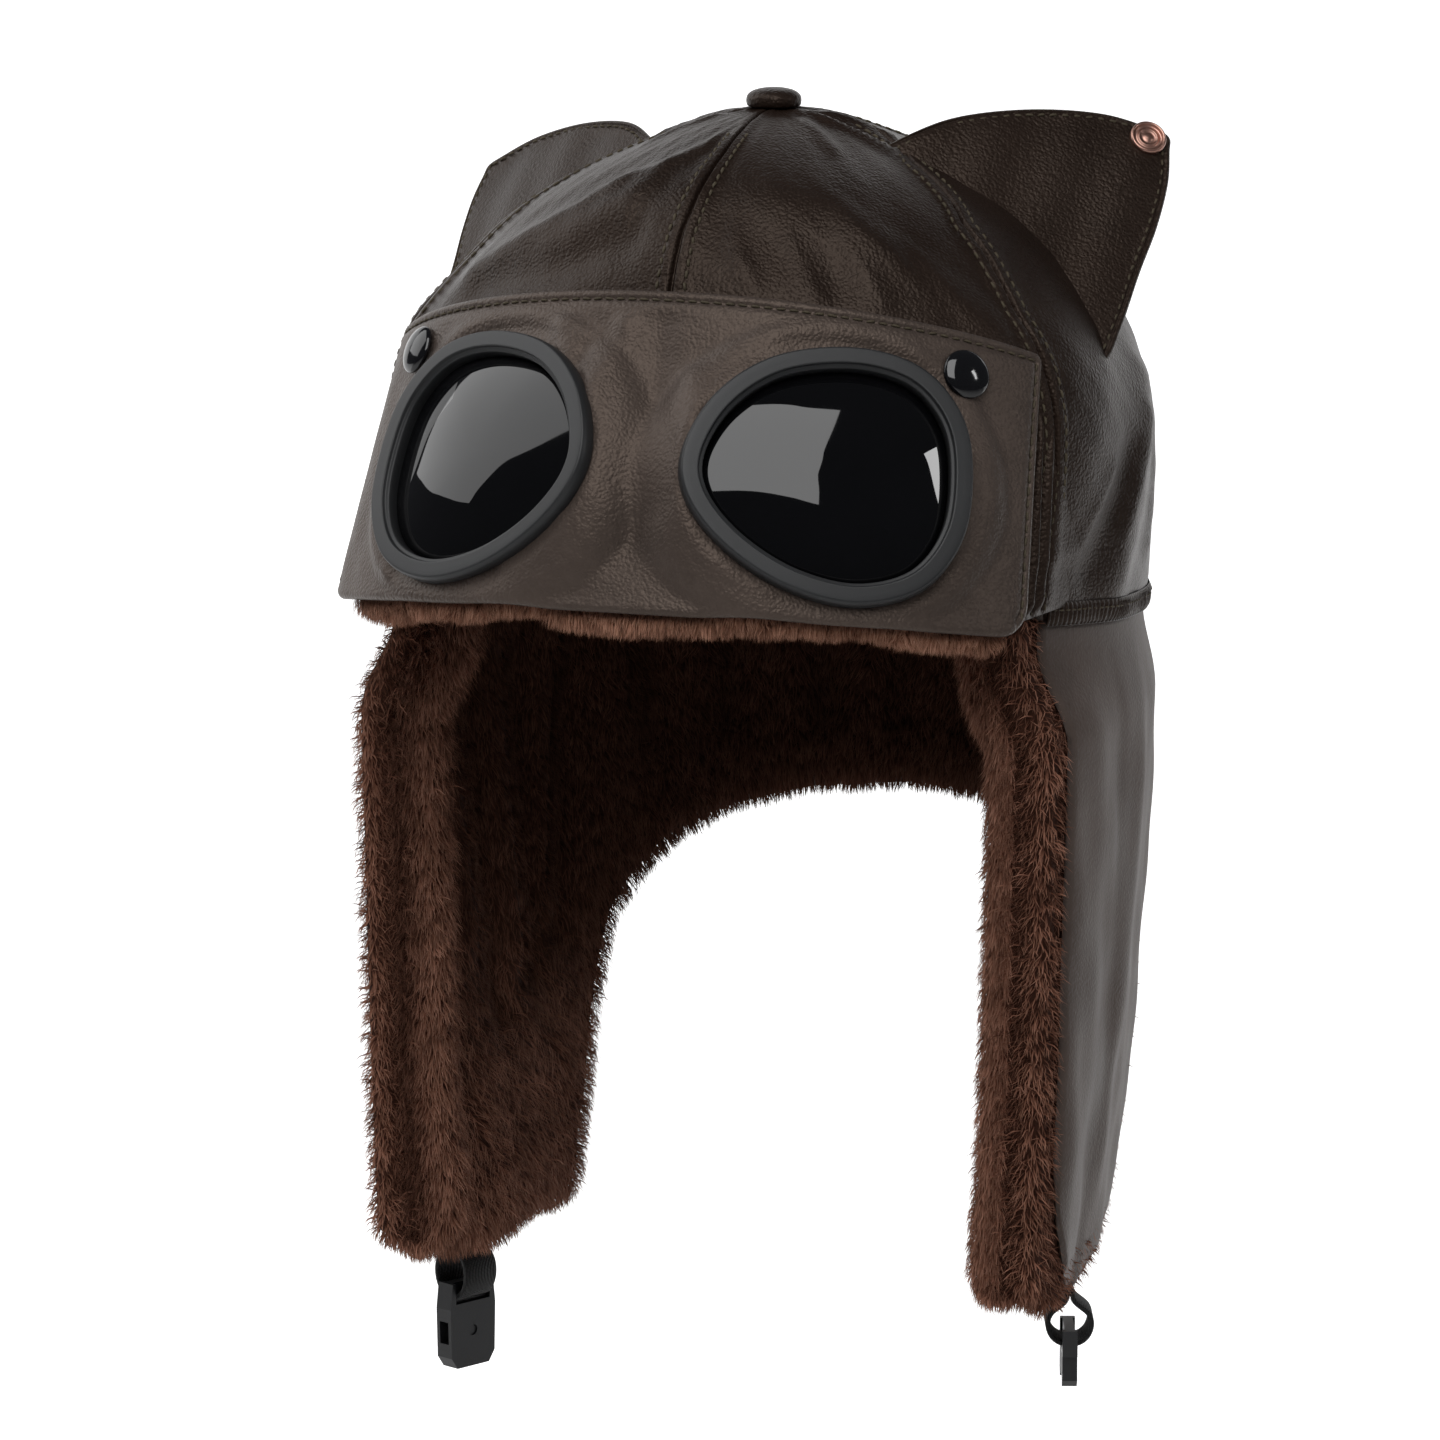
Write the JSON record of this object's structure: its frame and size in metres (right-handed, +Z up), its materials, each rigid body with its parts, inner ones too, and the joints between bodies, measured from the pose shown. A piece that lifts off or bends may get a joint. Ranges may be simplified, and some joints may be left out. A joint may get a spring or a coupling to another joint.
{
  "type": "leather flying helmet with goggle panel, fur-lined ear flaps and open chin strap",
  "caption": "Aviator cap that covers head, ears and neck, with fixed goggles on a front panel and a deep fur lining.",
  "frame": {"origin": "where the top of the wearer's head meets the lining inside the crown", "axes": "+Z up out of the crown, -Y the way the face looks, +X to the wearer's left"},
  "size_m": [0.1936, 0.234, 0.3375],
  "materials": {
    "crown_leather": "grained dark brown leather with a soft sheen",
    "panel_leather": "grained brown leather with a soft sheen",
    "flap_leather": "grained grey-brown leather with a soft sheen",
    "fur": "deep brown plush fur",
    "rim_plastic": "matte dark grey plastic",
    "lens": "polished black domed lens",
    "snap_lacquer": "glossy black lacquer",
    "copper": "brushed antique copper with a raised rim",
    "webbing": "black woven webbing",
    "buckle_plastic": "moulded dark grey plastic"
  },
  "bodies": {
    "root": {"crown": "crown_leather", "crown_button": "crown_leather", "crown_hem": "crown_leather", "flap_skirt": "flap_leather", "goggle_panel": "panel_leather", "goggle_rim_right": "rim_plastic", "goggle_lens_right": "lens", "panel_snap_right": "snap_lacquer", "goggle_rim_left": "rim_plastic", "goggle_lens_left": "lens", "panel_snap_left": "snap_lacquer", "side_gusset_right": "crown_leather", "side_gusset_left": "crown_leather", "front_fur": "fur", "wing_right": "crown_leather", "wing_left": "crown_leather", "wing_snap": "copper", "strap_loop_right": "webbing", "buckle_socket": "buckle_plastic", "strap_loop_left": "webbing", "buckle_prong": "buckle_plastic", "fur_lining": "fur"}
  },
  "joints": []
}
